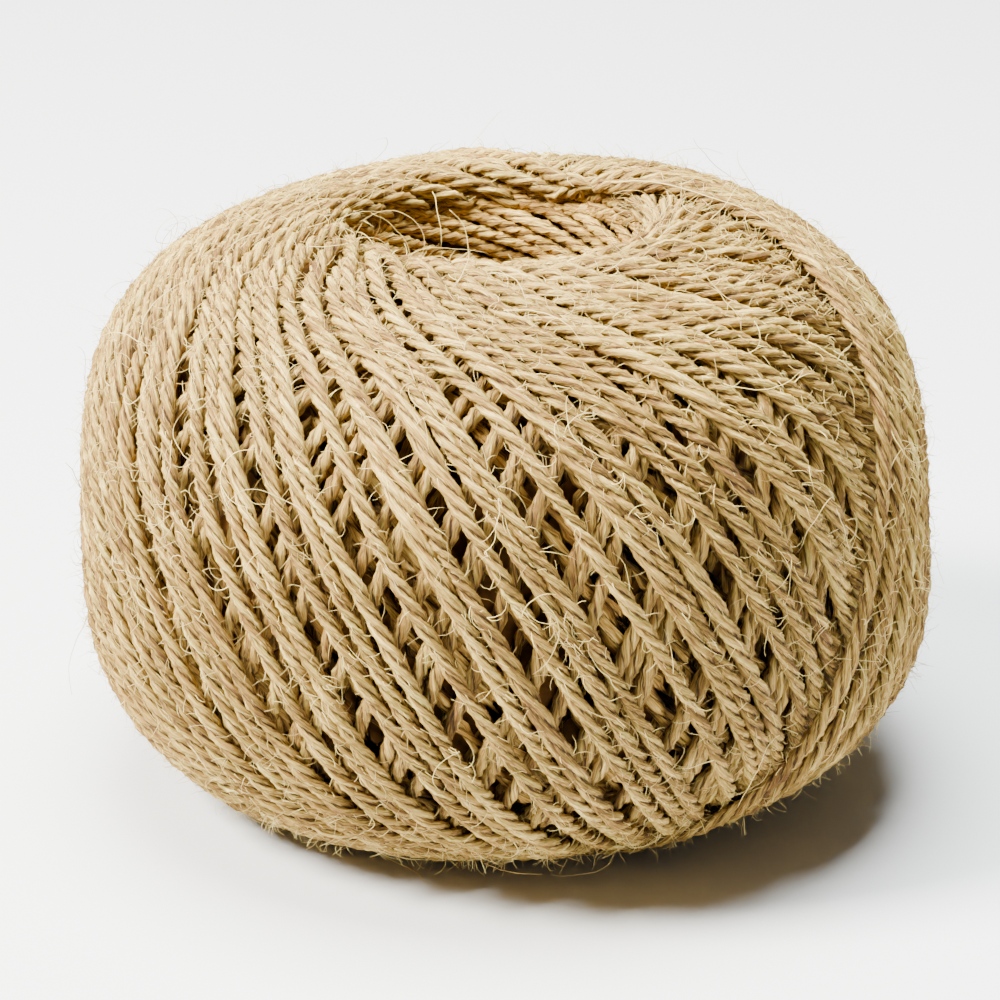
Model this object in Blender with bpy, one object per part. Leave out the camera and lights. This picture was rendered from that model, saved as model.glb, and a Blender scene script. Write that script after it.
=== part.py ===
"""Ball of sisal twine, wound on the slant round an open middle.

One closed body: the wound form with its main turns raised, the two families of
slanting turns meeting along the newest turn, a throat through the middle and a
small flat spot underneath.  Metres, +Z up, origin under the middle of the flat.
"""
import math

import bmesh
import bpy
from mathutils import Vector

# Wound form, as the height of the turns' tops above the middle of the ball
RADIUS = 0.0525
HALF_HEIGHT_ABOVE = 0.0392
HALF_HEIGHT_BELOW = 0.0382
FULLNESS_ABOVE = 2.8
FULLNESS_BELOW = 2.5
SIDE_LEAN = 0.02
SIDE_SHIFT = -0.00037
BASE_DEPTH = 0.0353

# Winding: each turn's tilt at the rims, and how much more it leans on its way up and down
TURN_TILT = math.radians(25.2)
EXTRA_TILT_ABOVE = math.radians(5.2)
EXTRA_TILT_BELOW = math.radians(2.5)
EXTRA_TILT_AT = math.radians(53.0)
EXTRA_TILT_SPREAD = math.radians(17.0)
NEWEST_TURN = math.radians(-37.0)
WINDING_TWIST = math.radians(-3.4)

# Rounded lip where the turns run down into the middle
LIP_DROP = 0.0042
LIP_END = math.radians(44.0)

# Soft unevenness of the ball: longitude, latitude (degrees), rise (metres)
LUMPS = (
    (90, 0, -0.0010),
    (124, 53, 0.0008),
    (180, 67, -0.0006),
    (-124, 53, -0.0010),
    (-90, 2, -0.0014),
    (-80, -27, 0.0016),
    (-56, -50, 0.0016),
    (0, -67, -0.0006),
    (56, -53, -0.0009),
    (78, -25, 0.0018),
)
LUMP_SPREAD = math.radians(23.0)

# Raised main turns
COLUMNS = 144
COLUMNS_PER_TURN = 4
TURN_RISE = 0.0016
NEWEST_RISE = 0.0004
RIM_RISE_SHARE = 0.35

# Rows of the winding, in column steps from the top rim (0) to the bottom rim
ROWS = (0, 6, 9, 12) + tuple(range(14, 59, 2)) + (60, 63, 66, 72)

# Throat through the middle
THROAT_ROWS = 9
THROAT_NARROWING = 0.0028
THROAT_FOLD = 0.0005
THROAT_FOLDS_DOWN = 2.5

COLOUR = (0.62, 0.48, 0.28, 1.0)
ROUGHNESS = 0.88
METALLIC = 0.0


def direction(longitude, latitude):
    """Unit vector; longitude runs from the front (-Y) towards the right (+X)."""
    flat = math.cos(latitude)
    return Vector((flat * math.sin(longitude), -flat * math.cos(longitude), math.sin(latitude)))


def outer_reach(polar):
    """Distance of the turns' tops from the middle at an angle from the axis."""
    if polar < math.pi / 2:
        half_height, fullness = HALF_HEIGHT_ABOVE, FULLNESS_ABOVE
    else:
        half_height, fullness = HALF_HEIGHT_BELOW, FULLNESS_BELOW
    across = (abs(math.sin(polar)) / RADIUS) ** fullness
    along = (abs(math.cos(polar)) / half_height) ** fullness
    return (across + along) ** (-1.0 / fullness)


def lump_rise(towards):
    """Sum of the soft lumps in one direction."""
    rise = 0.0
    for longitude, latitude, height in LUMPS:
        centre = direction(math.radians(longitude), math.radians(latitude))
        rise += height * math.exp((towards.dot(centre) - 1.0) / (1.0 - math.cos(LUMP_SPREAD)))
    return rise


def polar_angle(advance):
    """Angle from the axis of a turn that has advanced this far from the top rim."""
    above = math.exp(-((advance - EXTRA_TILT_AT) / EXTRA_TILT_SPREAD) ** 2)
    below = math.exp(-((math.pi - advance - EXTRA_TILT_AT) / EXTRA_TILT_SPREAD) ** 2)
    tilt = TURN_TILT + EXTRA_TILT_ABOVE * above + EXTRA_TILT_BELOW * below
    return math.atan2(math.tan(tilt), math.cos(advance))


def body_point(advance, longitude, sink):
    """Point of the ball, `sink` below the tops of its turns."""
    polar = polar_angle(advance)
    twisted = longitude + WINDING_TWIST * math.cos(polar)
    towards = direction(twisted, math.pi / 2 - polar)
    top = towards * (outer_reach(polar) + lump_rise(towards))
    top.z -= LIP_DROP * max(1.0 - advance / LIP_END, 0.0) ** 2
    top.z += LIP_DROP * max(1.0 - (math.pi - advance) / LIP_END, 0.0) ** 2
    clear_of_base = min(max((top.z + BASE_DEPTH) / TURN_RISE, 0.0), 1.0)
    point = top - towards * sink * clear_of_base
    point.x += SIDE_SHIFT - SIDE_LEAN * point.z
    point.z = max(point.z + BASE_DEPTH, 0.0)
    return point


def winding_point(row, column):
    """Grid point of the wound surface, on a ridge or in a furrow of its family."""
    advance = 2 * math.pi * row / COLUMNS
    longitude = NEWEST_TURN + math.pi + 2 * math.pi * column / COLUMNS
    on_newest = column % COLUMNS in (row % COLUMNS, -row % COLUMNS)
    going_down = row <= column <= COLUMNS - row
    age = column - row if going_down else (column + row) % COLUMNS
    wave = 0.5 - 0.5 * math.cos(2 * math.pi * age / COLUMNS_PER_TURN)
    share = RIM_RISE_SHARE + (1.0 - RIM_RISE_SHARE) * math.sin(advance) ** 0.5
    sink = -NEWEST_RISE * math.sin(advance) if on_newest else TURN_RISE * wave * share
    return body_point(advance, longitude, sink)


def throat_point(top, bottom, share):
    """Point of the throat wall between a top rim point and the bottom one below it."""
    height = top.z + (bottom.z - top.z) * share - BASE_DEPTH
    axis = Vector((SIDE_SHIFT - SIDE_LEAN * height, 0.0, 0.0))
    mixed = top.lerp(bottom, share) - axis
    angle = math.atan2(mixed.y, mixed.x)
    end_radius = math.hypot(mixed.x, mixed.y)
    swell = math.sin(math.pi * share)
    fold = THROAT_FOLD * swell * math.cos(2 * math.pi * THROAT_FOLDS_DOWN * share - 2 * angle)
    radius = end_radius - THROAT_NARROWING * swell ** 0.6 + fold
    return Vector((radius * math.cos(angle), radius * math.sin(angle), mixed.z)) + axis


def row_of_vertices(mesh, points):
    """Add one ring of vertices."""
    return [mesh.verts.new(point) for point in points]


def join_rows(mesh, upper, lower, row, next_row):
    """Join two rows so that each family's edges follow its own turns."""
    step = next_row - row

    def up(column):
        return upper[column % COLUMNS]

    def down(column):
        return lower[column % COLUMNS]

    def patch(a, b, c, d):
        mesh.faces.new((a, b, c))
        mesh.faces.new((a, c, d))

    # turns running down to the right, and the oldest ones going under the newest
    for column in range(row, COLUMNS - row):
        if column + step < COLUMNS - next_row:
            patch(up(column), down(column + step), down(column + step + 1), up(column + 1))
        else:
            mesh.faces.new((up(column), down(COLUMNS - next_row), up(column + 1)))
    # turns running down to the left, and the ones coming out from under the newest
    for column in range(-row, row):
        patch(up(column), down(column - step), down(column - step + 1), up(column + 1))
    for column in range(row - step, next_row):
        mesh.faces.new((up(row), down(column), down(column + 1)))


def join_rings(mesh, upper, lower):
    """Join two rings of the throat wall."""
    for column in range(COLUMNS):
        after = (column + 1) % COLUMNS
        mesh.faces.new((upper[column], upper[after], lower[after]))
        mesh.faces.new((upper[column], lower[after], lower[column]))


def wound_ball():
    """Build the whole ball as one closed mesh object."""
    mesh = bmesh.new()
    rings = []
    for row in ROWS:
        rings.append(row_of_vertices(mesh, [winding_point(row, column) for column in range(COLUMNS)]))
    for index in range(len(ROWS) - 1):
        join_rows(mesh, rings[index], rings[index + 1], ROWS[index], ROWS[index + 1])

    top_rim, bottom_rim = rings[0], rings[-1]
    wall = [top_rim]
    for index in range(1, THROAT_ROWS + 1):
        share = index / (THROAT_ROWS + 1)
        points = []
        for top, bottom in zip(top_rim, bottom_rim):
            points.append(throat_point(top.co.copy(), bottom.co.copy(), share))
        wall.append(row_of_vertices(mesh, points))
    wall.append(bottom_rim)
    for upper, lower in zip(wall, wall[1:]):
        join_rings(mesh, upper, lower)

    bmesh.ops.recalc_face_normals(mesh, faces=mesh.faces)
    for face in mesh.faces:
        face.smooth = True
    data = bpy.data.meshes.new("wound_ball")
    mesh.to_mesh(data)
    mesh.free()
    body = bpy.data.objects.new("wound_ball", data)
    bpy.context.scene.collection.objects.link(body)
    return body


def sisal_material():
    """Plain straw-coloured fibre."""
    material = bpy.data.materials.new("sisal")
    material.use_nodes = True
    shader = material.node_tree.nodes["Principled BSDF"]
    shader.inputs["Base Color"].default_value = COLOUR
    shader.inputs["Roughness"].default_value = ROUGHNESS
    shader.inputs["Metallic"].default_value = METALLIC
    return material


for leftover in list(bpy.data.objects):
    bpy.data.objects.remove(leftover)

ball = wound_ball()
ball.data.materials.append(sisal_material())
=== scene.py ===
from collections import namedtuple
from math import cos, exp, pi, radians, sin, sqrt

import bmesh
import bpy
import numpy as np
from bpy.props import FloatProperty, FloatVectorProperty, IntProperty, PointerProperty
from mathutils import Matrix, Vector


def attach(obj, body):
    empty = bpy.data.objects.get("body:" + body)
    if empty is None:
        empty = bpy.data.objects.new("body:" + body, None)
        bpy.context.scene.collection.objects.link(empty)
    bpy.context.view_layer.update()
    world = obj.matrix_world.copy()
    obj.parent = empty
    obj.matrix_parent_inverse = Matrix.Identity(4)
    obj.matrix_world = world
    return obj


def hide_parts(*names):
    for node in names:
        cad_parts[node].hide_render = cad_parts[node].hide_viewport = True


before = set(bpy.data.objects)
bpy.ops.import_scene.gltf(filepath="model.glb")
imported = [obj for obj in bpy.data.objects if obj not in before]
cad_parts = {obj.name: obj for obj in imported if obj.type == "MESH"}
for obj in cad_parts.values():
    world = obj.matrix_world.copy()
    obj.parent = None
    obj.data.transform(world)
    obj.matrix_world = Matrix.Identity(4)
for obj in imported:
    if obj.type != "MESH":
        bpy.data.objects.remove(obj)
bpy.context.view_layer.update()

bl_info = {
    "name": "Wound ball of twine",
    "version": (1, 0, 0),
    "blender": (4, 5, 0),
    "location": "3D View > Sidebar > Twine",
    "description": "A ball of hairy three-ply twine, wound turn by turn over its solid form",
    "category": "Object",
}

BALL = "wound_ball"
MM = 0.001

# ----- Form of the ball, the same named sizes as the solid it dresses -----
RADIUS = 0.0525
HALF_HEIGHT_ABOVE = 0.0392
HALF_HEIGHT_BELOW = 0.0382
FULLNESS_ABOVE = 2.8
FULLNESS_BELOW = 2.5
SIDE_LEAN = 0.02
SIDE_SHIFT = -0.00037
BASE_DEPTH = 0.0353
TURN_TILT = radians(25.2)
EXTRA_TILT_ABOVE = radians(5.2)
EXTRA_TILT_BELOW = radians(2.5)
EXTRA_TILT_AT = radians(53.0)
EXTRA_TILT_SPREAD = radians(17.0)
NEWEST_TURN = radians(-37.0)
WINDING_TWIST = radians(-3.4)
LIP_DROP = 0.0042
LIP_END = radians(44.0)
LUMPS = (
    (90, 0, -0.0010),
    (124, 53, 0.0008),
    (180, 67, -0.0006),
    (-124, 53, -0.0010),
    (-90, 2, -0.0014),
    (-80, -27, 0.0016),
    (-56, -50, 0.0016),
    (0, -67, -0.0006),
    (56, -53, -0.0009),
    (78, -25, 0.0018),
)
LUMP_SPREAD = radians(23.0)
RIM_TURN_START = radians(44.0)
RIM_TURN_END = radians(4.0)
RIM_UNDERCUT = 0.75
CROWN_RISE = 0.45 * MM

DOWN, UP = 1, -1


def smooth_step(low, high, value):
    """Ease from 0 at low to 1 at high; low may be the greater."""
    share = np.clip((value - low) / (high - low), 0.0, 1.0)
    return share * share * (3.0 - 2.0 * share)


def directions(longitude, polar):
    """Unit vectors; longitude runs from the front (-Y) towards the right (+X)."""
    return np.stack([np.sin(polar) * np.sin(longitude),
                     -np.sin(polar) * np.cos(longitude),
                     np.cos(polar)], axis=-1)


def polar_angle(advance):
    """Angle from the axis of a turn that has advanced this far from the top rim."""
    above = np.exp(-((advance - EXTRA_TILT_AT) / EXTRA_TILT_SPREAD) ** 2)
    below = np.exp(-((pi - advance - EXTRA_TILT_AT) / EXTRA_TILT_SPREAD) ** 2)
    tilt = TURN_TILT + EXTRA_TILT_ABOVE * above + EXTRA_TILT_BELOW * below
    return np.arctan2(np.tan(tilt), np.cos(advance))


def outer_reach(polar):
    """Distance of the turns' tops from the middle at an angle from the axis."""
    def reach(half_height, fullness):
        across = (np.abs(np.sin(polar)) / RADIUS) ** fullness
        along = (np.abs(np.cos(polar)) / half_height) ** fullness
        return (across + along) ** (-1.0 / fullness)
    return np.where(polar < pi / 2,
                    reach(HALF_HEIGHT_ABOVE, FULLNESS_ABOVE),
                    reach(HALF_HEIGHT_BELOW, FULLNESS_BELOW))


def lump_rise(towards):
    """Sum of the soft lumps in each direction."""
    rise = 0.0
    for longitude, latitude, height in LUMPS:
        centre = directions(radians(longitude), pi / 2 - radians(latitude))
        rise = rise + height * np.exp((towards @ centre - 1.0) / (1.0 - cos(LUMP_SPREAD)))
    return rise


def way_in(towards, within):
    """Unit vectors into the ball; at the rims they also lead away from the open middle."""
    across = towards * (1.0, 1.0, 0.0)
    across /= np.linalg.norm(across, axis=-1, keepdims=True)
    upright = np.where(within < pi / 2, -1.0, 1.0)[..., None] * np.array([0.0, 0.0, 1.0])
    at_rim = smooth_step(RIM_TURN_START, RIM_TURN_END, np.minimum(within, pi - within))
    inward = -towards * (1.0 - at_rim)[..., None]
    inward += (RIM_UNDERCUT * across + upright) * at_rim[..., None]
    return inward / np.linalg.norm(inward, axis=-1, keepdims=True)


def ball_points(advance, longitude, depth, floor, bridged=0.0):
    """Points `depth` below the turns' tops, none of them lower than `floor`.

    The turns' crowns stand CROWN_RISE above the form, whose surface is their mean level.
    `bridged` is the share of the lip's drop that a taut strand passes over.
    """
    within = np.abs((advance + pi) % (2 * pi) - pi)
    polar = polar_angle(within)
    towards = directions(longitude + WINDING_TWIST * np.cos(polar), polar)
    top = outer_reach(polar) + lump_rise(towards)
    points = towards * top[..., None] + way_in(towards, within) * (depth - CROWN_RISE)[..., None]
    points[..., 2] -= LIP_DROP * (1.0 - bridged) * np.maximum(1.0 - within / LIP_END, 0.0) ** 2
    points[..., 2] += LIP_DROP * np.maximum(1.0 - (pi - within) / LIP_END, 0.0) ** 2
    points[..., 0] += SIDE_SHIFT - SIDE_LEAN * points[..., 2]
    points[..., 2] = np.maximum(points[..., 2] + BASE_DEPTH, floor)
    return points


# ----- Settings -----
class TwineSettings(bpy.types.PropertyGroup):
    """Sizes of the twine and of its winding."""
    turns: IntProperty(
        name="Turns", description="Turns of twine in one layer of the ball", default=84, min=20)
    twine_radius: FloatProperty(
        name="Twine radius", description="Greatest radius of the twisted twine",
        default=0.00105, subtype="DISTANCE", unit="LENGTH")
    lay_length: FloatProperty(
        name="Lay length", description="Length in which one ply goes once round the twine",
        default=0.0082, subtype="DISTANCE", unit="LENGTH")
    plies: IntProperty(name="Plies", description="Plies twisted together", default=3, min=2)
    stubble: IntProperty(
        name="Stubble", description="Fibre ends no longer than the twine is thick", default=2800)
    gap_fibres: IntProperty(
        name="Fibres in gaps", description="Short fibres that cross from turn to turn", default=9800)
    curls: IntProperty(
        name="Curls", description="Fibres that curl over their neighbours", default=1000)
    opening_fibres: IntProperty(
        name="Fibres over the opening", description="Long fibres across the open middle", default=16)
    frayed_spots: IntProperty(
        name="Frayed spots", description="Places where a turn is frayed to a tangle", default=42)
    long_fibres: IntProperty(
        name="Long fibres", description="Long curly fibres that have worked loose", default=260)


class FinishSettings(bpy.types.PropertyGroup):
    """Colours of the fibre."""
    shadow_fibre: FloatVectorProperty(
        name="Darkest fibre", description="Brown of the fibres between the straws",
        subtype="COLOR", default=(0.100, 0.043, 0.010))
    mid_fibre: FloatVectorProperty(
        name="Mid fibre", description="Tan of most of the fibre",
        subtype="COLOR", default=(0.294, 0.169, 0.031))
    straw_fibre: FloatVectorProperty(
        name="Straw fibre", description="Pale straw of the cleaner fibres",
        subtype="COLOR", default=(0.556, 0.368, 0.090))
    pale_fibre: FloatVectorProperty(
        name="Pale fibre", description="Cream of the bleached fibres",
        subtype="COLOR", default=(0.890, 0.700, 0.240))
    loose_fibre: FloatVectorProperty(
        name="Loose fibre", description="Cream of the fibres that stand off",
        subtype="COLOR", default=(0.720, 0.530, 0.200))


class StudioSettings(bpy.types.PropertyGroup):
    """Camera."""
    camera_height: FloatProperty(
        name="Camera height", description="Angle of the camera above the ball's middle",
        subtype="ANGLE", default=radians(21.5))
    camera_distance: FloatProperty(
        name="Camera distance", description="From the ball's middle to the camera",
        subtype="DISTANCE", unit="LENGTH", default=0.45)
    lens: FloatProperty(name="Lens", description="Focal length in millimetres", default=130.1)
    aim_aside: FloatProperty(
        name="Aim aside", description="How far beside the ball's axis the camera looks",
        subtype="DISTANCE", unit="LENGTH", default=-0.00074)


# ----- Twine as curves -----
def place_object(name, data):
    """Put a mesh, curve, lamp or camera on the scene as an object."""
    item = bpy.data.objects.new(name, data)
    bpy.context.scene.collection.objects.link(item)
    return item


def wander(chance, along, wave, amount):
    """A slow, smooth, repeatable wobble along a strand."""
    phases = chance.uniform(0.0, 2 * pi, 3)
    total = np.sin(2 * pi * along / wave + phases[0])
    total += 0.6 * np.sin(2 * pi * along / (0.53 * wave) + phases[1])
    total += 0.4 * np.sin(2 * pi * along / (0.29 * wave) + phases[2])
    return amount * total / 1.4


def run_length(points):
    """Distance along a line of points, from its first one."""
    steps = np.linalg.norm(np.diff(points, axis=0), axis=1)
    return np.concatenate([[0.0], np.cumsum(steps)])


def even_steps(points, step, values):
    """The same line with its points a step apart, its run length and the values carried along."""
    along = run_length(points)
    count = max(int(round(along[-1] / step)) + 1, 4)
    wanted = np.linspace(0.0, along[-1], count)
    line = np.stack([np.interp(wanted, along, points[:, axis]) for axis in range(3)], axis=-1)
    return line, wanted, np.interp(wanted, along, values)


def ply_profile(name, plies, sides, radius, spread):
    """Closed section of the twine: as many overlapping round plies, `spread` off its middle."""
    data = bpy.data.curves.new(name, "CURVE")
    data.dimensions = "2D"
    outline = data.splines.new("POLY")
    outline.points.add(sides - 1)
    outline.use_cyclic_u = True
    for index, point in enumerate(outline.points):
        angle = -2 * pi * index / sides
        off_crest = (angle * plies / (2 * pi) + 0.5) % 1.0 - 0.5
        off_crest *= 2 * pi / plies
        ply = 1.0 - spread
        reach = spread * cos(off_crest)
        reach += sqrt(max(ply ** 2 - (spread * sin(off_crest)) ** 2, 0.0))
        reach *= radius
        point.co = (reach * cos(angle), reach * sin(angle), 0.0, 1.0)
    return place_object(name, data)


def strands_to_mesh(name, strands, section, sides):
    """Sweep the section along every strand and return one mesh object with its own map.

    The map called "lie" runs along each strand in metres and round it in turns; the
    value "tone" belongs to the whole strand.
    """
    data = bpy.data.curves.new(name + "_path", "CURVE")
    data.dimensions = "3D"
    data.bevel_mode = "OBJECT"
    data.bevel_object = section
    data.twist_mode = "MINIMUM"
    for strand in strands:
        count = len(strand["points"])
        spline = data.splines.new("POLY")
        spline.points.add(count - 1)
        flat = np.ones((count, 4))
        flat[:, :3] = strand["points"]
        spline.points.foreach_set("co", flat.ravel())
        spline.points.foreach_set("radius", strand["swell"])
        spline.points.foreach_set("tilt", strand["turned"])
        spline.use_smooth = True
    path = place_object(name + "_path", data)
    graph = bpy.context.evaluated_depsgraph_get()
    mesh = bpy.data.meshes.new_from_object(path.evaluated_get(graph))
    bpy.data.objects.remove(path)
    mesh.name = name

    along = np.concatenate([np.repeat(strand["along"], sides) for strand in strands])
    tone = np.concatenate([np.full(len(s["points"]) * sides, s["tone"]) for s in strands])
    rings = len(along) // sides
    around = np.tile(np.arange(sides) / sides, rings)
    if len(along) != len(mesh.vertices):
        raise RuntimeError(f"{name}: the swept mesh has another number of points than its strands")

    while mesh.uv_layers:
        mesh.uv_layers.remove(mesh.uv_layers[0])
    lie = mesh.uv_layers.new(name="lie")
    corner_vertex = np.empty(len(mesh.loops), dtype=np.int32)
    mesh.loops.foreach_get("vertex_index", corner_vertex)
    corners = around[corner_vertex].reshape(-1, 4)
    wraps = (corners.max(axis=1) - corners.min(axis=1)) > 0.5
    corners[wraps] = np.where(corners[wraps] < 0.5, corners[wraps] + 1.0, corners[wraps])
    pairs = np.stack([along[corner_vertex], corners.ravel()], axis=-1)
    lie.data.foreach_set("uv", pairs.ravel())
    mesh.attributes.new("tone", "FLOAT", "POINT").data.foreach_set("value", tone)

    shell = bmesh.new()
    shell.from_mesh(mesh)
    rims = [edge for edge in shell.edges if edge.is_boundary]
    bmesh.ops.holes_fill(shell, edges=rims, sides=0)
    shell.to_mesh(mesh)
    shell.free()
    for polygon in mesh.polygons:
        polygon.use_smooth = True
    return place_object(name, mesh)


def finish_piece(piece, material):
    """Give a piece its finish and its place in the frame."""
    piece.data.materials.clear()
    piece.data.materials.append(material)
    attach(piece, "root")


# ----- Winding -----
# A strand's advance is its angle from the top rim, measured along its turn; its age is the
# angle by which that turn lies behind the newest one.
SEEDS = {"outer": 11, "under": 23, "deep": 37, "throat": 41, "fibres": 59}

# Each layer's section, its strands' step between points and unevenness, and its colour over the
# fibre:
# white on the outer turns, painted shade on the under turns, and painted light on the deep turns and
# the throat wall, which lie in shade
Layer = namedtuple("Layer", "sides thickness spread step wobble tint")
LAYERS = {
    "outer": Layer(12, 1.0, 0.46, 1.04 * MM, 1.0, (1.0, 1.0, 1.0)),
    "under": Layer(9, 1.0, 0.38, 1.45 * MM, 1.8, (0.87, 0.83, 0.76)),
    "deep": Layer(6, 1.05, 0.40, 3.5 * MM, 2.0, (1.15, 1.03, 0.90)),
    "throat": Layer(9, 1.0, 0.46, 1.25 * MM, 1.0, (1.40, 1.35, 1.30)),
}
LAYER_STEP = 1.8 * MM
FLAT_SQUEEZE = 0.9
DEEP_JITTER = 0.4

# Where one family passes under the other, before and after the line on which they meet
SEAM_START = radians(5.5)
SEAM_END = radians(0.5)
SEAM_OVERRUN = radians(7.0)

# The newest turns stand proud of the older ones
NEWEST_RISE = 0.85 * MM
NEWEST_RISE_FADE = radians(38.0)
NEWEST_RISE_REACH = (0.0, 0.5)

# Towards the rims every second strand, then every fourth, sags and dives under the rest:
# the angles from the rim where that begins and ends, and how deep it goes
ODD_DIVES = ((radians(64.0), radians(48.0), 0.55 * MM),
             (radians(46.0), radians(32.0), 1.55 * MM))
SECOND_DIVES = ((radians(40.0), radians(30.0), 0.40 * MM),
                (radians(32.0), radians(21.0), 1.70 * MM))

# At the rims the older turns dive into the middle, in four lengths that repeat
RIM_DIVE = (radians(9.0), radians(-16.0))
RIM_DIVE_DEPTH = 3.0 * MM
RIM_COVER = (radians(12.0), radians(26.0))
RIM_RUNS = [radians(angle) for angle in (-24.0, 10.0, -4.0, 10.0)]

# The two halves of each of the newest turns meet at the rims and bridge part of the lip's drop
JOINED_TURNS = 4
NEWEST_JOIN = radians(1.5)
RIM_BRIDGED = 0.50
BRIDGE_REACH = (radians(22.0), radians(6.0))
BRIDGE_FADE = (radians(24.0), radians(10.0))

# Advances between which the gaps show lower layers, and the shortest runs worth winding
GAPS_START = radians(46.0)
GAPS_END = radians(136.0)
GAPS_OVERRUN = radians(2.0)
SHORTEST_RUN = radians(10.0)
SHORTEST_UNDER_RUN = radians(8.0)
FINE_POINTS = 420

# Unevenness: size, pace and start of the bunching of turns, then waves and their amounts
BUNCHES = ((0.30, 2.02, 0.6), (0.22, 1.13, 0.0))
BUNCH_JITTER = 0.16
SIDE_WOBBLE = (1.3, radians(0.55))
DEPTH_WOBBLE = (0.9, 0.14 * MM)
SWELL_WOBBLES = ((0.031, 0.07), (0.009, 0.035))
LAY_WOBBLE = (0.04, 0.16)

# Thick places: the share of strands with one, its rise, its reach and where it may be
SLUB_SHARE = 0.16
SLUB_RISE = 0.22
SLUB_REACH = 0.016
SLUB_PLACES = (0.25, 0.75)
TIP_STEPS = 1.5
TIP_THINNEST = 0.02
PATTERN_LENGTH = 3.0


def turn_ages(turns, chance):
    """How far each turn lies behind the newest one, in uneven groups."""
    step = 2 * pi / turns
    ages = []
    for index in range(turns):
        bunch = 0.0
        for size, pace, start in BUNCHES:
            bunch += size * sin(index * pace + start)
        ages.append(step * (index + bunch + chance.uniform(-BUNCH_JITTER, BUNCH_JITTER)))
    ages[0] = 0.0
    return ages


def burial(index, advance, age):
    """How far a strand lies under the newer ones, along its way."""
    from_rim = np.minimum(advance, pi - advance)
    depth = np.zeros_like(advance)
    dives = ()
    if index % 2:
        dives = ODD_DIVES
    elif index % 4:
        dives = SECOND_DIVES
    for begin, end, drop in dives:
        depth += drop * smooth_step(begin, end, from_rim)
    depth += RIM_DIVE_DEPTH * smooth_step(*RIM_DIVE, from_rim) * smooth_step(*RIM_COVER, age)
    rise = NEWEST_RISE * exp(-age / NEWEST_RISE_FADE)
    depth -= rise * smooth_step(*NEWEST_RISE_REACH, from_rim)
    return depth


def wound_strand(index, age, family, run, layer, buried, settings, chance):
    """One strand of a family over a run of advances, with `buried` layers over it."""
    look = LAYERS[layer]
    advance = np.linspace(*run, FINE_POINTS)
    wave, amount = SIDE_WOBBLE
    lateral = wander(chance, advance, wave, amount * look.wobble)
    lateral = lateral * np.sin(np.clip(advance, 0, pi)) ** 0.5
    longitude = NEWEST_TURN + age + pi + family * advance + lateral
    depth = settings.twine_radius + burial(index, advance, age) + buried * LAYER_STEP
    if buried == 0 and age > 0.0:
        seam = pi - age / 2 if family == DOWN else age / 2
        under = smooth_step(seam - family * SEAM_START, seam - family * SEAM_END, advance)
        depth = depth + under * (LAYER_STEP - 0.5 * NEWEST_RISE)
    wave, amount = DEPTH_WOBBLE
    depth = depth + wander(chance, advance, wave, amount * look.wobble)
    floor = settings.twine_radius + buried * LAYER_STEP * FLAT_SQUEEZE
    bridged = RIM_BRIDGED * smooth_step(*BRIDGE_REACH, advance) * smooth_step(*BRIDGE_FADE, age)
    points = ball_points(advance, longitude, depth, floor, bridged)
    return finish_strand(points, settings, chance, look.step, depth)


def finish_strand(points, settings, chance, step, depth):
    """Even out a line of points and give it swell, lay and tone."""
    line, along, depth = even_steps(points, step, depth)
    swell = 1.0
    for wave, amount in SWELL_WOBBLES:
        swell = swell + wander(chance, along, wave, amount)
    if chance.uniform() < SLUB_SHARE:
        middle = along[-1] * chance.uniform(*SLUB_PLACES)
        swell += SLUB_RISE * np.exp(-((along - middle) / SLUB_REACH) ** 2)
    twist = (1.0 + wander(chance, along, *LAY_WOBBLE)) * swell ** -2.0
    steps = np.gradient(along) * twist * 2 * pi / settings.lay_length
    turned = chance.uniform(0, 2 * pi) - np.cumsum(steps)
    ends = np.minimum(along, along[-1] - along)
    swell *= np.clip(ends / (TIP_STEPS * step), TIP_THINNEST, 1.0)
    return {
        "points": line,
        "along": along + chance.uniform(0.0, PATTERN_LENGTH),
        "swell": swell,
        "turned": turned,
        "tone": chance.uniform(),
        "depth": depth,
        "radius": settings.twine_radius,
    }


def visible_run(family, index, age):
    """Advances between which a family's strand of this age lies uppermost."""
    rim = RIM_RUNS[index % 4] if index >= JOINED_TURNS else -NEWEST_JOIN
    if family == DOWN:
        return rim, min(pi - age / 2 + SEAM_OVERRUN, pi - rim)
    return max(age / 2 - SEAM_OVERRUN, rim), pi - rim


def hidden_run(family, age):
    """Advances between which a strand of this age shows under the other family."""
    if family == DOWN:
        return max(pi - age / 2, GAPS_START) - GAPS_OVERRUN, GAPS_END
    return GAPS_START, min(age / 2, GAPS_END) + GAPS_OVERRUN


def outer_strands(settings):
    """Every strand of the uppermost layer, in groups small enough for one piece each."""
    chance = np.random.RandomState(SEEDS["outer"])
    turns = settings.turns
    ages = turn_ages(turns, chance)
    groups = {}
    for way, family, newer in (("down", DOWN, turns * 3 // 8), ("up", UP, turns * 5 // 8)):
        for index, age in enumerate(ages):
            part = "newer" if index < newer else "older"
            group = groups.setdefault(f"turns_{way}_{part}", [])
            run = visible_run(family, index, age)
            if run[1] - run[0] > SHORTEST_RUN:
                group.append(wound_strand(index, age, family, run, "outer", 0, settings, chance))
    return groups


def sweep_groups(groups, section, sides, material):
    """Make each group of strands one finished piece, then take the section away."""
    pieces = [strands_to_mesh(name, groups[name], section, sides) for name in groups]
    for piece in pieces:
        finish_piece(piece, material)
    bpy.data.objects.remove(section)
    return pieces


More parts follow.
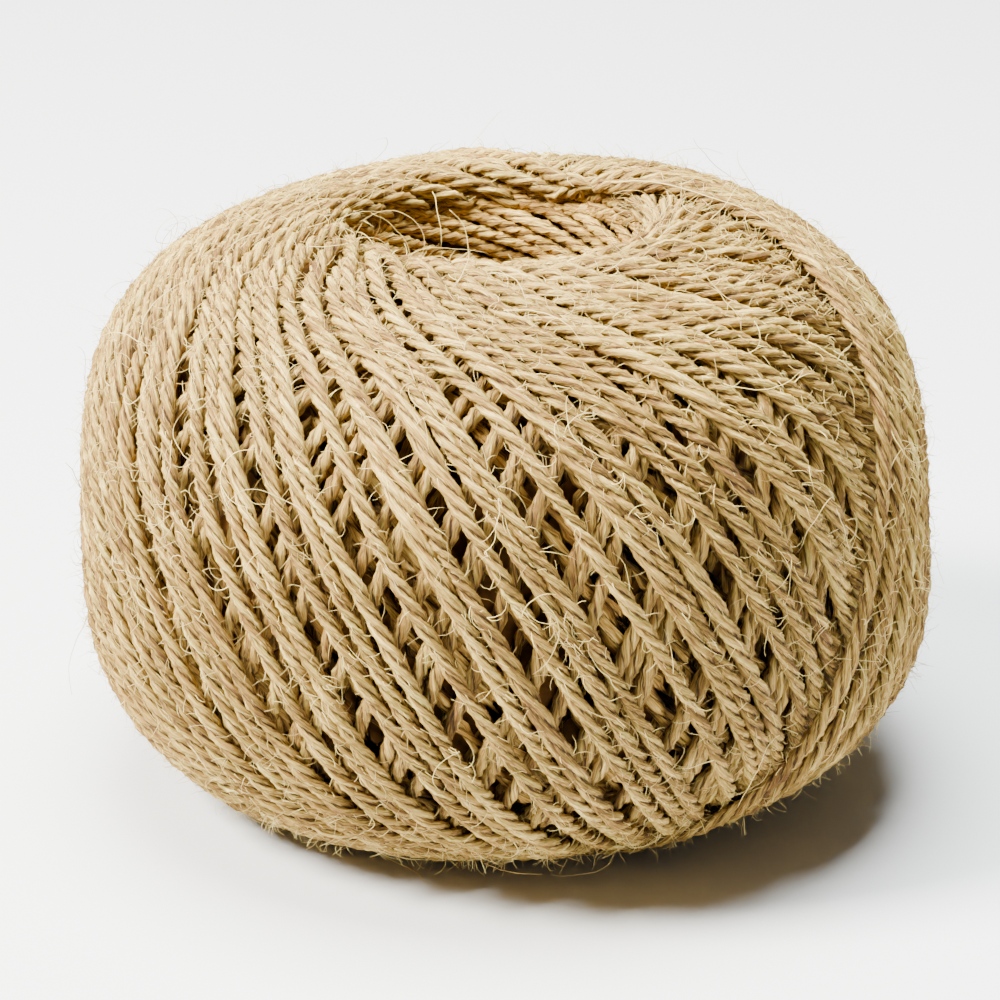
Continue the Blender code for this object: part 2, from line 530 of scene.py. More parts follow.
def wind_layer(layer, groups, settings):
    """Sweep a layer's strands in its own section, with its layer colour, which is painted shade on
    the under turns and painted light on the deep turns and the throat wall.
    """
    look = LAYERS[layer]
    section = ply_profile(layer + "_section", settings.plies, look.sides,
                          settings.twine_radius * look.thickness, look.spread)
    colours = bpy.context.scene.twine_finish
    # The layer colour passed on here is painted shade on the under turns and painted light on the
    # deep turns and the throat wall
    material = sisal_finish("sisal_" + layer, colours, settings, look.tint)
    return sweep_groups(groups, section, look.sides, material)


class TWINE_OT_outer_turns(bpy.types.Operator):
    """Wind the uppermost turns: one family running down to the right, one to the left"""
    bl_idname = "twine.outer_turns"
    bl_label = "Outer turns"

    def execute(self, context):
        settings = context.scene.twine
        for piece in wind_layer("outer", outer_strands(settings), settings):
            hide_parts(BALL)
        return {"FINISHED"}


class TWINE_OT_under_turns(bpy.types.Operator):
    """Wind the turns that show through the gaps of the outer ones"""
    bl_idname = "twine.under_turns"
    bl_label = "Turns underneath"

    def execute(self, context):
        settings = context.scene.twine
        chance = np.random.RandomState(SEEDS["under"])
        ages = turn_ages(settings.turns, chance)
        strands = []
        for family in (DOWN, UP):
            for index, age in enumerate(ages):
                run = hidden_run(family, age)
                if run[1] - run[0] >= SHORTEST_UNDER_RUN:
                    strands.append(
                        wound_strand(index, age, family, run, "under", 1, settings, chance))
        wind_layer("under", {"turns_under": strands}, settings)
        return {"FINISHED"}


class TWINE_OT_deep_turns(bpy.types.Operator):
    """Wind the third and fourth layers, seen dimly where the gaps are widest"""
    bl_idname = "twine.deep_turns"
    bl_label = "Deep turns"

    def execute(self, context):
        settings = context.scene.twine
        chance = np.random.RandomState(SEEDS["deep"])
        run = (GAPS_START, GAPS_END)
        strands = []
        for family, buried in ((DOWN, 2), (UP, 3)):
            for index in range(settings.turns):
                jitter = chance.uniform(-DEEP_JITTER, DEEP_JITTER)
                age = 2 * pi * (index + jitter) / settings.turns
                strands.append(
                    wound_strand(0, age, family, run, "deep", buried, settings, chance))
        wind_layer("deep", {"turns_deep": strands}, settings)
        return {"FINISHED"}


# ----- Throat -----
THROAT_STARTS = 24
THROAT_START_JITTER = 0.1
THROAT_HEIGHT = 0.066
THROAT_LEAD = 0.042
THROAT_TOP = 0.993
THROAT_SHARE = 0.985
THROAT_POINTS = 900
THROAT_HEIGHT_WOBBLE = (2.4, 0.004)
THROAT_DEPTH_WOBBLE = (1.7, 0.2 * MM)
# The wall narrows halfway, has a slight winding fold and tucks under the rims
THROAT_NARROWING = 0.0028
THROAT_FULLNESS = 0.6
THROAT_FOLD = 0.0005
THROAT_FOLDS_DOWN = 2.5
THROAT_TUCK = 1.0 * MM
THROAT_TUCK_REACH = (0.06, 0.025)

# The innermost turns hug each rim from inside, and their ends sink into the winding
RIM_TURNS = 3
RIM_TURN_SWEEP = 0.62
RIM_TURN_FIRST = 1.1
RIM_TURN_JITTER = 0.3
RIM_TURN_STEP = 1.05 * MM
RIM_TURN_INSET = -1.5 * MM
RIM_TURN_DROP = 1.8 * MM
RIM_TURN_CLIMB = 0.5 * MM
RIM_TURN_SINK = 2.8 * MM
RIM_TURN_SINK_REACH = (0.9, 0.0)
RIM_TURN_SIDE_WOBBLE = (2.1, 0.25 * MM)


def throat_wall(height_share, longitude, inset):
    """Points on the wall of the open middle, from the bottom rim (0) to the top one (1)."""
    level = np.zeros_like(longitude)
    top = ball_points(level, longitude, level, 0.0)
    bottom = ball_points(level + pi, longitude, level, 0.0)
    mixed = bottom + (top - bottom) * height_share[..., None]
    centre = SIDE_SHIFT - SIDE_LEAN * (mixed[..., 2] - BASE_DEPTH)
    across = mixed[..., 0] - centre
    angle = np.arctan2(mixed[..., 1], across)
    radius = np.hypot(mixed[..., 1], across)
    swell = np.sin(pi * height_share)
    folds = 2 * pi * THROAT_FOLDS_DOWN * (1.0 - height_share) - 2 * angle
    fold = THROAT_FOLD * swell * np.cos(folds)
    radius = radius - THROAT_NARROWING * swell ** THROAT_FULLNESS + fold + inset
    from_rim = np.minimum(height_share, 1.0 - height_share)
    radius += THROAT_TUCK * smooth_step(*THROAT_TUCK_REACH, from_rim)
    sides = (centre + radius * np.cos(angle), radius * np.sin(angle), mixed[..., 2])
    return np.stack(sides, axis=-1)


def throat_strand(start, settings, chance):
    """One strand that winds down the wall of the open middle."""
    sweep = 2 * pi * THROAT_HEIGHT / THROAT_LEAD
    longitude = np.linspace(0.0, sweep, THROAT_POINTS)
    jitter = chance.uniform(-THROAT_START_JITTER, THROAT_START_JITTER)
    first = 2 * pi * (start + jitter) / THROAT_STARTS
    share = THROAT_TOP - THROAT_SHARE * longitude / sweep
    share = np.clip(share + wander(chance, longitude, *THROAT_HEIGHT_WOBBLE), 0.0, 1.0)
    inset = settings.twine_radius + wander(chance, longitude, *THROAT_DEPTH_WOBBLE)
    points = throat_wall(share, first - longitude, inset)
    points[:, 2] = np.maximum(points[:, 2], settings.twine_radius)
    return finish_strand(points, settings, chance, LAYERS["throat"].step, inset)


def rim_turn(top, turn, settings, chance):
    """One of the innermost turns, which hugs a rim and climbs over the turn before."""
    sweep = np.linspace(0.0, 2.0 * pi * RIM_TURN_SWEEP, FINE_POINTS)
    first = 2 * pi * (turn + RIM_TURN_JITTER * chance.uniform()) / RIM_TURNS
    advance = np.full(FINE_POINTS, 0.0 if top else pi)
    points = ball_points(advance, first + RIM_TURN_FIRST - sweep, np.zeros(FINE_POINTS), 0.0)
    hidden = smooth_step(*RIM_TURN_SINK_REACH, np.minimum(sweep, sweep[-1] - sweep))
    inward = RIM_TURN_INSET + wander(chance, sweep, *RIM_TURN_SIDE_WOBBLE)
    inward -= RIM_TURN_SINK * hidden
    lower = RIM_TURN_DROP + RIM_TURN_CLIMB * (1.0 - sweep / sweep[-1])
    lower = lower + wander(chance, sweep, *THROAT_DEPTH_WOBBLE)
    across = points * (1.0, 1.0, 0.0) - (SIDE_SHIFT, 0.0, 0.0)
    across /= np.linalg.norm(across, axis=-1, keepdims=True)
    points -= across * inward[:, None]
    points[:, 2] += -lower if top else lower
    points[:, 2] = np.maximum(points[:, 2], settings.twine_radius)
    return finish_strand(points, settings, chance, RIM_TURN_STEP, lower)


class TWINE_OT_throat_turns(bpy.types.Operator):
    """Wind the turns that line the open middle"""
    bl_idname = "twine.throat_turns"
    bl_label = "Throat turns"

    def execute(self, context):
        settings = context.scene.twine
        chance = np.random.RandomState(SEEDS["throat"])
        strands = [throat_strand(start, settings, chance) for start in range(THROAT_STARTS)]
        for top in (True, False):
            for turn in range(RIM_TURNS):
                strands.append(rim_turn(top, turn, settings, chance))
        wind_layer("throat", {"turns_throat": strands}, settings)
        return {"FINISHED"}


# ----- Inner form -----
FORM_COLUMNS, FORM_ROWS, FORM_WALL_ROWS = 96, 40, 12
FORM_DEPTH = 7.2 * MM
FORM_FLOOR = 6.5 * MM
FORM_INSET = 2.6 * MM
FORM_WALL_START, FORM_WALL_SPAN = 0.05, 0.9


class TWINE_OT_inner_form(bpy.types.Operator):
    """Make the dark form that backs the turns, so no light passes through the ball; its dark brown
    is painted shade for the shaded depths seen through the gaps
    """
    bl_idname = "twine.inner_form"
    bl_label = "Inner form"

    def execute(self, context):
        last_row = FORM_ROWS + FORM_WALL_ROWS
        shell = bmesh.new()
        bmesh.ops.create_grid(shell, x_segments=FORM_COLUMNS, y_segments=last_row, size=0.5)
        grid = np.array([vertex.co[:] for vertex in shell.verts]) + 0.5
        longitude = 2 * pi * grid[:, 0]
        place = grid[:, 1] * last_row
        advance = pi * np.clip(place / FORM_ROWS, 0.0, 1.0)
        depth = np.full(len(grid), FORM_DEPTH)
        outside = ball_points(advance, longitude, depth, FORM_FLOOR)
        share = np.clip((place - FORM_ROWS) / FORM_WALL_ROWS, 0.0, 1.0)
        share = FORM_WALL_START + FORM_WALL_SPAN * share
        inside = throat_wall(share, longitude, np.full(len(grid), FORM_INSET))
        inside[:, 2] = np.clip(inside[:, 2], FORM_FLOOR, None)
        top = ball_points(np.zeros(len(grid)), longitude, depth, FORM_FLOOR)
        turned_in = smooth_step(FORM_ROWS, FORM_ROWS + 1.0, place)[:, None]
        closed = smooth_step(last_row - 1.0, last_row, place)[:, None]
        points = outside * (1.0 - turned_in) + inside * turned_in
        points = points * (1.0 - closed) + top * closed
        for vertex, point in zip(shell.verts, points):
            vertex.co = point
        bmesh.ops.remove_doubles(shell, verts=shell.verts, dist=1e-6)
        bmesh.ops.recalc_face_normals(shell, faces=shell.faces)
        for face in shell.faces:
            face.smooth = True
        mesh = bpy.data.meshes.new("inner_form")
        shell.to_mesh(mesh)
        shell.free()
        piece = place_object("inner_form", mesh)
        # The inner form's finish is painted shade: dark browns for the shaded depths
        finish_piece(piece, painted_shade_finish("sisal_painted_shade", context.scene.twine_finish))
        return {"FINISHED"}


# ----- Stray fibres -----
FIBRE_SIDES = 3
FIBRE_RADIUS = 0.057 * MM
FIBRE_TIP = 0.4
FIBRE_FLOOR = 0.12 * MM

# Kinds of fibre: spread of the roots round a strand, length and bend radius in millimetres,
# how fast it sinks back, its points, and its share of FIBRE_RADIUS
FibreKind = namedtuple("FibreKind", "spread length bend sink points thickness")
STUBBLE = FibreKind(0.8, (0.7, 1.7), (0.8, 3.0), 0.18, 3, (0.45, 0.9))
IN_GAP = FibreKind(1.15, (1.0, 2.8), (1.0, 3.6), 0.16, 4, (0.5, 0.95))
CURL = FibreKind(0.7, (2.2, 7.5), (1.5, 4.5), 0.22, 8, (0.5, 1.0))
LONG = FibreKind(0.7, (5.0, 13.0), (2.5, 9.0), 0.07, 18, (0.8, 1.3))
OVER_OPENING = FibreKind(0.5, (8.0, 17.0), (4.0, 11.0), 0.0, 18, (0.8, 1.2))
OPENING_ROOTS = (3, 16)
LIFTED_FIBRE_RUN = (4, 28)
LIFTED_FIBRE_THICKNESS = 1.9

# Few fibres grow from strands that lie deeper than so many radii
BURIED_RADII = 2.2
BURIED_SHARE = 0.1
ROOT_REACH = 0.85
UPRIGHT_STRETCH = 1.6
BEND_CHANGE = 0.6
BEND_TILT = 0.35
HEADING_JITTER = 0.10

# A frayed spot's hairs, how many of them only cross a gap, and how many steps it spreads
FRAYED_HAIRS = 26
FRAYED_GAP_SHARE = 0.85
FRAYED_SPREAD = 1.6


def fibre_root(chance, strand, place, spread):
    """A spot on the outside of a strand: where it is, the strand's way and the way out."""
    radius = strand["radius"]
    while place is None:
        spot = chance.randint(2, len(strand["points"]) - 2)
        if strand["depth"][spot] < BURIED_RADII * radius or chance.uniform() < BURIED_SHARE:
            place = spot
    centre = strand["points"][place]
    along = strand["points"][place + 1] - strand["points"][place - 1]
    along /= np.linalg.norm(along)
    out = centre - (SIDE_SHIFT, 0.0, BASE_DEPTH)
    out[2] *= UPRIGHT_STRETCH
    out -= along * (out @ along)
    out /= np.linalg.norm(out)
    side = np.cross(along, out)
    angle = chance.normal(0.0, spread)
    away = out * cos(angle) + side * sin(angle)
    root = centre + away * ROOT_REACH * radius * strand["swell"][place]
    return root, along, away, out


def fibre_strand(line, thickness, chance):
    """Dress a fibre's line as a strand for sweeping, thin at its tip."""
    count = len(line)
    return {
        "points": line,
        "along": run_length(line),
        "swell": thickness * np.linspace(1.0, FIBRE_TIP, count),
        "turned": np.zeros(count),
        "tone": chance.uniform(),
    }


def grow_fibre(chance, kind, root, out, heading, length=None):
    """A bent fibre from a root; it curves within the ball's surface and sinks towards it."""
    if length is None:
        length = chance.uniform(*kind.length) * MM
    bend = chance.uniform(*kind.bend) * MM
    heading = heading / np.linalg.norm(heading)
    axis = out * chance.choice([-1.0, 1.0]) + chance.normal(0.0, BEND_TILT, 3)
    step = length / (kind.points - 1)
    change = chance.uniform(-BEND_CHANGE, BEND_CHANGE)
    points = [root]
    for index in range(kind.points - 1):
        points.append(points[-1] + heading * step)
        turning = step / bend * (1.0 + change * (2.0 * index / kind.points - 1.0))
        heading = heading + np.cross(axis, heading) * turning - out * kind.sink * step / MM
        heading = heading + chance.normal(0.0, HEADING_JITTER, 3)
        heading /= np.linalg.norm(heading)
    line = np.array(points)
    line[:, 2] = np.maximum(line[:, 2], FIBRE_FLOOR)
    return fibre_strand(line, chance.uniform(*kind.thickness), chance)


def stubble_fibre(chance, strand, place=None):
    """A fibre end that lies along its strand and just comes away from it."""
    root, along, away, out = fibre_root(chance, strand, place, STUBBLE.spread)
    heading = along * chance.choice([-1.0, 1.0]) + away * chance.uniform(0.15, 0.7)
    return grow_fibre(chance, STUBBLE, root, out, heading)


def gap_fibre(chance, strand, place=None):
    """A fibre from a strand's flank that crosses the gap beside it."""
    root, along, away, out = fibre_root(chance, strand, place, IN_GAP.spread)
    heading = away + along * chance.normal(0.0, 0.9) - out * chance.uniform(-0.1, 0.35)
    return grow_fibre(chance, IN_GAP, root, out, heading)


def curl_fibre(chance, strand, place=None):
    """A longer fibre that curls over its neighbours; most are nearer the shortest length."""
    root, along, _, out = fibre_root(chance, strand, place, CURL.spread)
    side = np.cross(along, out)
    way = chance.uniform(0.0, 2 * pi)
    heading = along * cos(way) + side * sin(way) + out * chance.uniform(0.0, 0.45)
    shortest, longest = CURL.length
    length = min(shortest + chance.gamma(2.0, 1.0), longest) * MM
    return grow_fibre(chance, CURL, root, out, heading, length)


def long_fibre(chance, strand, place=None):
    """One of the few fibres that stand well off the ball."""
    root, along, _, out = fibre_root(chance, strand, place, LONG.spread)
    side = np.cross(along, out)
    heading = along * chance.choice([-1.0, 1.0]) + side * chance.normal(0.0, 0.8) + out * 0.35
    return grow_fibre(chance, LONG, root, out, heading)


def opening_fibre(chance, strand):
    """A long fibre from a turn's start at the top rim that curls across the open middle."""
    place = chance.randint(*OPENING_ROOTS)
    root, along, _, _ = fibre_root(chance, strand, place, OVER_OPENING.spread)
    inward = -root * (1.0, 1.0, 0.0)
    inward /= np.linalg.norm(inward)
    upright = np.array([0.0, 0.0, 1.0])
    heading = inward + along * chance.normal(0.0, 0.9) + upright * chance.uniform(0.1, 0.8)
    side = np.cross(heading, upright) + upright * chance.normal(0.0, 0.8)
    return grow_fibre(chance, OVER_OPENING, root, side / np.linalg.norm(side), heading)


def lifted_fibre(chance, strand):
    """The long pale fibre that has come away along the newest turn, beside the opening."""
    first, last = LIFTED_FIBRE_RUN
    line = []
    for place in range(first, last):
        root, along, _, out = fibre_root(chance, strand, place, 0.0)
        share = (place - first) / (last - first)
        stand = 0.75 + 0.55 * sin(2.6 * pi * share) ** 2
        line.append(root + (np.cross(along, out) * stand - out * 0.35) * strand["radius"])
    return fibre_strand(np.array(line), LIFTED_FIBRE_THICKNESS, chance)


def frayed_spot(chance, strand):
    """A tangle of short hairs and curls at one place on a strand."""
    last = len(strand["points"]) - 3
    middle = chance.randint(6, max(last - 3, 7))
    hairs = []
    for _ in range(FRAYED_HAIRS):
        place = int(np.clip(middle + chance.normal(0.0, FRAYED_SPREAD), 2, last))
        make = gap_fibre if chance.uniform() < FRAYED_GAP_SHARE else curl_fibre
        hairs.append(make(chance, strand, place))
    return hairs


class TWINE_OT_stray_fibres(bpy.types.Operator):
    """Add the fibre ends, the hairs in the gaps, the curls and the frayed spots"""
    bl_idname = "twine.stray_fibres"
    bl_label = "Stray fibres"

    def execute(self, context):
        settings = context.scene.twine
        chance = np.random.RandomState(SEEDS["fibres"])
        groups = outer_strands(settings)
        layer = [strand for group in groups.values() for strand in group]
        share = np.array([strand["along"][-1] - strand["along"][0] for strand in layer])
        share /= share.sum()
        kinds = (
            ("fibre_stubble", stubble_fibre, settings.stubble),
            ("fibres_in_gaps", gap_fibre, settings.gap_fibres),
            ("fibres_curled", curl_fibre, settings.curls),
            ("fibres_long", long_fibre, settings.long_fibres),
        )
        pieces = {}
        for name, make, count in kinds:
            picks = chance.choice(len(layer), count, p=share)
            pieces[name] = [make(chance, layer[pick]) for pick in picks]
        for pick in chance.choice(settings.turns * 3 // 4, settings.opening_fibres):
            pieces["fibres_long"].append(opening_fibre(chance, layer[pick]))
        pieces["fibres_long"].append(lifted_fibre(chance, groups["turns_up_newer"][0]))
        pieces["fibres_frayed"] = []
        for pick in chance.choice(len(layer), settings.frayed_spots, p=share):
            pieces["fibres_frayed"] += frayed_spot(chance, layer[pick])

        section = ply_profile("fibre_section", FIBRE_SIDES, FIBRE_SIDES, FIBRE_RADIUS, 0.0)
        material = fibre_finish("loose_fibre", context.scene.twine_finish)
        sweep_groups(pieces, section, FIBRE_SIDES, material)
        return {"FINISHED"}


# ----- Finishes -----
def solid(colour):
    """A colour with full alpha."""
    return (*colour, 1.0)


class Wiring:
    """Small helper for laying out and joining shader nodes."""

    def __init__(self, name):
        self.material = bpy.data.materials.new(name)
        self.material.use_nodes = True
        self.tree = self.material.node_tree
        self.shader = self.tree.nodes["Principled BSDF"]
        self.column = 0

    def add(self, kind, *sources, **values):
        """Add a node; the sources go into its first inputs, values are its own settings."""
        node = self.tree.nodes.new(kind)
        self.column += 1
        node.location = (-180 * (self.column % 12) - 200, -220 * (self.column // 12))
        for key, value in values.items():
            setattr(node, key, value)
        for socket, source in zip(node.inputs, sources):
            self.feed(socket, source)
        return node

    def feed(self, socket, source):
        """Join an output to an input, or set the input to a value."""
        if isinstance(source, bpy.types.NodeSocket):
            self.tree.links.new(source, socket)
        else:
            socket.default_value = source

    def maths(self, operation, first, second=0.0):
        """A sum, product or function of one or two values."""
        return self.add("ShaderNodeMath", first, second, operation=operation).outputs[0]

    def noise(self, vector, *look):
        """Noise value at a place, of a scale, detail, roughness and distortion."""
        node = self.add("ShaderNodeTexNoise", vector)
        for key, value in zip(("Scale", "Detail", "Roughness", "Distortion"), look):
            node.inputs[key].default_value = value
        return node.outputs[0]

    def ramp(self, value, stops):
        """Colour ramp with (place, colour) stops."""
        node = self.add("ShaderNodeValToRGB", value)
        band = node.color_ramp
        while len(band.elements) < len(stops):
            band.elements.new(0.5)
        for element, (place, colour) in zip(band.elements, stops):
            element.position = place
            element.color = solid(colour)
        return node.outputs[0]

    def span(self, value, low, high, to_low=0.0, to_high=1.0):
        """Map a value from one span to another, clamped."""
        return self.add("ShaderNodeMapRange", value, low, high, to_low, to_high).outputs[0]

    def blend(self, share, first, second, how="MIX"):
        """Mix two colours."""
        node = self.add("ShaderNodeMix", share, data_type="RGBA", blend_type=how)
        self.feed(node.inputs[6], first)
        self.feed(node.inputs[7], second)
        return node.outputs[2]

    def surface(self, colour, roughness, shine):
        """Give the surface its colour, roughness and shine, and return the material."""
        looks = {"Base Color": colour, "Roughness": roughness, "Specular IOR Level": shine}
        for key, source in looks.items():
            self.feed(self.shader.inputs[key], source)
        return self.material


# Grain of the fibre: each noise's pace along and round a strand, then its scale, detail,
# roughness and distortion
GRAIN = {
    "straws": ((230.0, 2.3), (1.0, 3.0, 0.6, 0.35)),
    "hairs": ((480.0, 6.5), (1.0, 2.0, 0.65, 0.3)),
    "patches": ((110.0, 0.8), (1.0, 2.0, 0.5)),
    "tints": ((75.0, 1.3), (1.0, 2.0, 0.5, 0.8)),
    "flecks": ((800.0, 7.0), (1.0, 1.0, 0.5, 0.5)),
    "rust": ((210.0, 3.0), (1.3, 1.0, 0.5, 0.9)),
}
FIBRE_SLANT = 0.35
PLY_OFFSET = 0.731

# How much each noise lightens or darkens the fibre: the noise's span, and the amount
SHADING = {
    "straws": (0.28, 0.72, 0.28),
    "hairs": (0.28, 0.72, 0.24),
    "patches": (0.30, 0.70, 0.20),
}
STRAND_TONES = (0.33, 0.54)
COLOUR_STOPS = (0.06, 0.36, 0.66, 1.00)

# Tints over the fibre: noise, its span, the tint's share, its colour and its mixing
TINTS = (
    ("tints", (0.54, 0.70), 0.55, (1.0, 0.84, 0.68), "MULTIPLY"),
    ("tints", (0.47, 0.34), 0.90, (0.90, 1.0, 0.84), "MULTIPLY"),
    ("rust", (0.66, 0.74), 0.80, (0.42, 0.19, 0.07), "MIX"),
    ("flecks", (0.68, 0.76), 0.85, (0.16, 0.065, 0.012), "MIX"),
)

# Painted shade in the creases between the plies, whose mask also sets their bump: their raggedness,
# their width and depth, how green and blue fade in the painted shade
CREASE_RAGGED = (0.3, 0.7, 0.12)
CREASE_SPAN = (0.0, 0.25, 0.16, 1.0)
PAINTED_CREASE_SHADE_WARMTH = (1.12, 1.3)
FIBRE_ROUGHNESS = (0.2, 0.9, 0.85, 0.5)
FIBRE_SHINE = 0.3
FIBRE_HEIGHT = 0.7
CREASE_HEIGHT = 0.5
BUMP_DISTANCE = 0.00022

# Shares of the darkest fibre's colour in the painted shade of the form inside the ball
PAINTED_SHADE_DARK_SHARE = 1.3
PAINTED_SHADE_LIGHT_SHARE = 2.6


def sisal_finish(name, colours, settings, painted_light_cast):
    """Fibre that runs with the plies: painted shade in the creases between them, streaks, specks and
    tints, then its layer's colour over all, painted shade on the under turns and painted light on
    the deep turns and the throat wall.
    """
    wiring = Wiring(name)
    maths = wiring.maths
    lie = wiring.add("ShaderNodeUVMap", uv_map="lie")
    along, around, _ = wiring.add("ShaderNodeSeparateXYZ", lie.outputs[0]).outputs

    plies = float(settings.plies)
    phase = maths("ADD", maths("MULTIPLY", around, plies), 0.5)
    ply = maths("MODULO", maths("FLOOR", phase), plies)
    from_crest = maths("SUBTRACT", maths("FRACT", phase), 0.5)
    aside = maths("MULTIPLY", maths("ABSOLUTE", from_crest), 2.0)
    to_crease = maths("SUBTRACT", 1.0, aside)

    slant = maths("MULTIPLY", along, FIBRE_SLANT / settings.lay_length)
    angle = maths("MULTIPLY", maths("SUBTRACT", around, slant), 2 * pi)
    cosine, sine = maths("COSINE", angle), maths("SINE", angle)
    shifted = maths("ADD", along, maths("MULTIPLY", ply, PLY_OFFSET))

    def place(length_scale, round_scale):
        """Where the fibre is on a strand, stretched for one of the noises."""
        sides = [maths("MULTIPLY", way, round_scale) for way in (cosine, sine)]
        lengthwise = maths("MULTIPLY", shifted, length_scale)
        return wiring.add("ShaderNodeCombineXYZ", lengthwise, *sides).outputs[0]

    def shading(noise, low, high, amount):
        """As much lighter or darker as the noise says."""
        return wiring.span(noise, low, high, -amount, amount)

    grain = {kind: wiring.noise(place(*scales), *look) for kind, (scales, look) in GRAIN.items()}
    tone = wiring.add("ShaderNodeAttribute", attribute_name="tone").outputs[2]
    swings = [shading(grain[kind], *amounts) for kind, amounts in SHADING.items()]
    swings.append(wiring.span(tone, 0.0, 1.0, *STRAND_TONES))
    fibre = swings[0]
    for swing in swings[1:]:
        fibre = maths("ADD", fibre, swing)
    shades = (colours.shadow_fibre, colours.mid_fibre, colours.straw_fibre, colours.pale_fibre)
    colour = wiring.ramp(fibre, list(zip(COLOUR_STOPS, shades)))
    for kind, span, share, tint, how in TINTS:
        patch = wiring.span(grain[kind], *span, 0.0, share)
        colour = wiring.blend(patch, colour, solid(tint), how)

    # Painted shade: the colour darkens towards the creases between the plies, green and blue more
    # than red; the same crease mask lowers the bump there
    ragged = maths("ADD", to_crease, shading(grain["hairs"], *CREASE_RAGGED))
    crease = wiring.span(ragged, *CREASE_SPAN)
    painted_shade_warmth = [maths("POWER", crease, power) for power in PAINTED_CREASE_SHADE_WARMTH]
    shade = wiring.add("ShaderNodeCombineXYZ", crease, *painted_shade_warmth).outputs[0]
    colour = wiring.blend(1.0, colour, shade, "MULTIPLY")
    # Painted light and shade of the layer: the whole colour is multiplied by the layer colour
    colour = wiring.blend(1.0, colour, solid(painted_light_cast), "MULTIPLY")
    height = maths("ADD", maths("MULTIPLY", fibre, FIBRE_HEIGHT),
                   maths("MULTIPLY", crease, CREASE_HEIGHT))
    bump = wiring.add("ShaderNodeBump")
    bump.inputs["Distance"].default_value = BUMP_DISTANCE
    wiring.feed(bump.inputs["Height"], height)
    wiring.feed(wiring.shader.inputs["Normal"], bump.outputs[0])
    return wiring.surface(colour, wiring.span(fibre, *FIBRE_ROUGHNESS), FIBRE_SHINE)


def fibre_finish(name, colours):
    """Single fibres: cream with a little variety from one to the next."""
    wiring = Wiring(name)
    tone = wiring.add("ShaderNodeAttribute", attribute_name="tone").outputs[2]
    colour = wiring.ramp(tone, (
        (0.0, colours.mid_fibre),
        (0.35, colours.loose_fibre),
        (1.0, colours.pale_fibre),
    ))
    return wiring.surface(colour, roughness=0.55, shine=0.4)


def painted_shade_finish(name, colours):
    """Painted shade: deep fibre seen only through gaps, coloured in the dark browns of the shade
    there.
    """
    wiring = Wiring(name)
    where = wiring.add("ShaderNodeTexCoord").outputs["Object"]
    patches = wiring.noise(where, 420.0, 3.0, 0.6)
    # Painted shade: both ends of the ramp are the darkest fibre's colour scaled to the dark browns
    # of the shaded depths
    dark = [PAINTED_SHADE_DARK_SHARE * value for value in colours.shadow_fibre]
    light = [PAINTED_SHADE_LIGHT_SHARE * value for value in colours.shadow_fibre]
    colour = wiring.ramp(patches, ((0.35, dark), (0.7, light)))
    return wiring.surface(colour, roughness=0.95, shine=0.1)


# ----- Stage -----
# Square lights: name, place, size in metres, power in watts and colour
LIGHTS = (
    ("key_light", (-0.72, -0.24, 0.80), 0.30, 68.0, (1.0, 0.978, 0.90)),
    ("fill_light", (0.80, -0.60, 0.30), 0.9, 0.1, (0.97, 0.985, 1.0)),
    ("top_light", (-0.04, 0.02, 1.0), 0.5, 47.0, (0.93, 0.985, 1.0)),
)
WORLD_LIGHT = 0.09
FLOOR_REACH = 3.0
FLOOR_GREY = (0.72, 0.72, 0.72)


def area_light(name, place, size, power, colour):
    """A soft square light that looks at the ball's middle."""
    data = bpy.data.lights.new(name, "AREA")
    data.shape = "SQUARE"
    data.size = size
    data.energy = power
    data.color = colour
    lamp = place_object(name, data)
    lamp.location = place
    way = Vector((0.0, 0.0, BASE_DEPTH)) - Vector(place)
    lamp.rotation_euler = way.to_track_quat("-Z", "Y").to_euler()


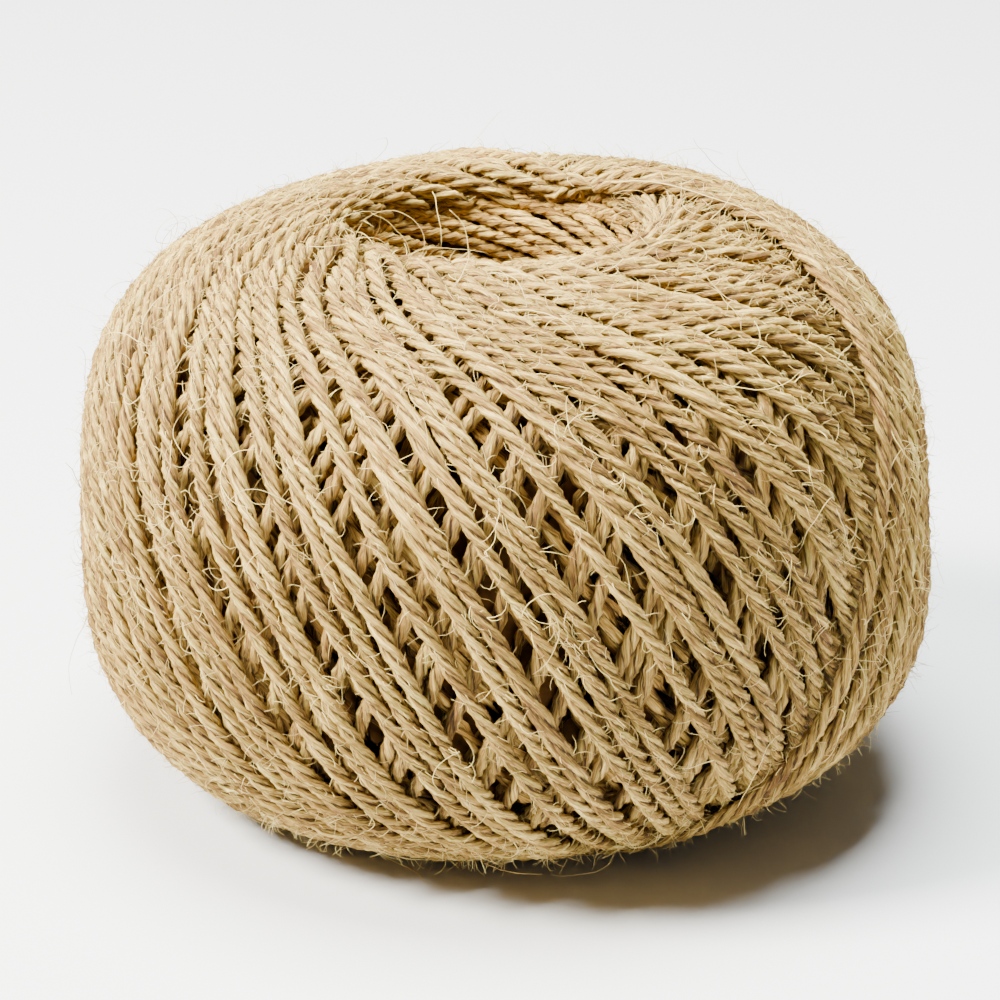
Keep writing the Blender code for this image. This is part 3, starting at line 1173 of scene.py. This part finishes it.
class TWINE_OT_stage(bpy.types.Operator):
    """Set the pale floor, the soft lights and the camera"""
    bl_idname = "twine.stage"
    bl_label = "Stage"

    def execute(self, context):
        studio = context.scene.twine_studio
        for light in LIGHTS:
            area_light(*light)
        world = bpy.data.worlds.new("studio")
        world.use_nodes = True
        glow = world.node_tree.nodes["Background"]
        glow.inputs["Color"].default_value = solid((1.0, 1.0, 1.0))
        glow.inputs["Strength"].default_value = WORLD_LIGHT
        context.scene.world = world

        shell = bmesh.new()
        bmesh.ops.create_grid(shell, x_segments=1, y_segments=1, size=FLOOR_REACH)
        mesh = bpy.data.meshes.new("floor")
        shell.to_mesh(mesh)
        shell.free()
        paper = Wiring("pale_paper").surface(solid(FLOOR_GREY), roughness=0.9, shine=0.5)
        mesh.materials.append(paper)
        floor = place_object("floor", mesh)

        data = bpy.data.cameras.new("camera")
        data.lens = studio.lens
        data.sensor_width = 36.0
        data.clip_start = 0.01
        camera = place_object("camera", data)
        aim = Vector((studio.aim_aside, 0.0, BASE_DEPTH))
        back = Vector((0.0, -cos(studio.camera_height), sin(studio.camera_height)))
        camera.location = aim + back * studio.camera_distance
        camera.rotation_euler = (-back).to_track_quat("-Z", "Y").to_euler()
        context.scene.camera = camera
        return {"FINISHED"}


# ----- Panel and registration -----
OPERATORS = (
    TWINE_OT_stage,
    TWINE_OT_outer_turns,
    TWINE_OT_under_turns,
    TWINE_OT_deep_turns,
    TWINE_OT_throat_turns,
    TWINE_OT_inner_form,
    TWINE_OT_stray_fibres,
)


class TWINE_PT_panel(bpy.types.Panel):
    """Sizes, colours and the steps that build the ball"""
    bl_idname = "TWINE_PT_panel"
    bl_label = "Ball of twine"
    bl_space_type = "VIEW_3D"
    bl_region_type = "UI"
    bl_category = "Twine"

    def draw(self, context):
        layout = self.layout
        for group in (context.scene.twine, context.scene.twine_finish, context.scene.twine_studio):
            box = layout.box()
            for key in group.bl_rna.properties.keys():
                if key not in {"rna_type", "name"}:
                    box.prop(group, key)
        for operator in OPERATORS:
            layout.operator(operator.bl_idname)


CLASSES = (TwineSettings, FinishSettings, StudioSettings) + OPERATORS + (TWINE_PT_panel,)


def register():
    """Register the classes and hang the settings on the scene."""
    for item in CLASSES:
        bpy.utils.register_class(item)
    bpy.types.Scene.twine = PointerProperty(type=TwineSettings)
    bpy.types.Scene.twine_finish = PointerProperty(type=FinishSettings)
    bpy.types.Scene.twine_studio = PointerProperty(type=StudioSettings)


def unregister():
    """Take the settings and classes away again."""
    del bpy.types.Scene.twine_studio
    del bpy.types.Scene.twine_finish
    del bpy.types.Scene.twine
    for item in reversed(CLASSES):
        bpy.utils.unregister_class(item)


def main():
    """Build everything in order."""
    register()
    for operator in OPERATORS:
        group, name = operator.bl_idname.split(".")
        getattr(getattr(bpy.ops, group), name)()


if __name__ == "__main__":
    main()
